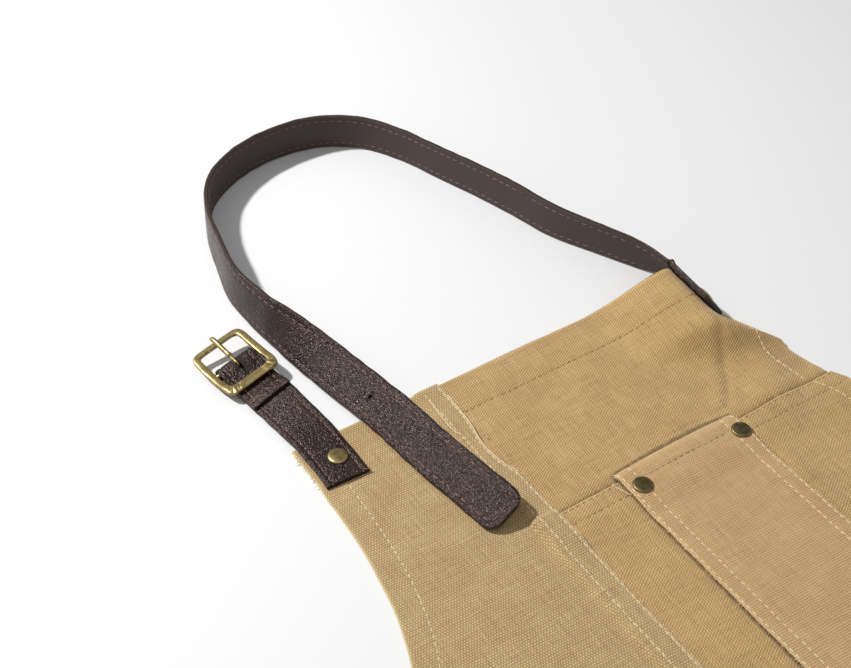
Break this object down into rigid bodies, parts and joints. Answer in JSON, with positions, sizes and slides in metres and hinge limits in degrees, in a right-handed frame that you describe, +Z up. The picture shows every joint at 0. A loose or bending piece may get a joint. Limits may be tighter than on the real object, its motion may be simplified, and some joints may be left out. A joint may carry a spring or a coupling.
{
  "type": "cotton work apron",
  "caption": "Cotton canvas bib apron lying flat, with a patch pocket, waist ties and a leather neck strap looped round to a pin buckle.",
  "frame": {"origin": "on the floor under the apron, in the middle of its waist", "axes": "+X to the right across the apron as seen face up, +Y up the apron towards the neck, +Z up from the floor"},
  "size_m": [0.64, 1.0343, 0.0254],
  "materials": {
    "twill": "worn brown cotton twill",
    "duck": "worn tan cotton duck",
    "pocket_cloth": "worn pink-beige plain weave",
    "leather": "very dark brown pebbled leather",
    "brass": "antique brass"
  },
  "bodies": {
    "apron": {"yoke_panel": "twill", "front_panel": "twill", "side_panel": "duck", "chest_pocket": "pocket_cloth", "pocket_rivet_left": "brass", "pocket_rivet_right": "brass", "neck_strap": "leather", "strap_rivet": "brass", "buckle_tab": "leather", "tab_rivet": "brass", "waist_tie_left": "twill", "waist_tie_right": "twill", "waist_rivet_left": "brass", "waist_rivet_right": "brass"},
    "buckle_frame": {"buckle_frame": "brass"},
    "buckle_prong": {"buckle_prong": "brass"}
  },
  "joints": [
    {"name": "frame_hinge", "type": "hinge", "parent": "apron", "child": "buckle_frame", "pos_m": [-0.1303, 0.339, 0.006], "axis": [-0.9775, -0.1723, -0.1219], "range_deg": [0, 70]},
    {"name": "prong_hinge", "type": "hinge", "parent": "buckle_frame", "child": "buckle_prong", "pos_m": [-0.1303, 0.339, 0.006], "axis": [0.9775, 0.1723, 0.1219], "range_deg": [0, 120]}
  ]
}
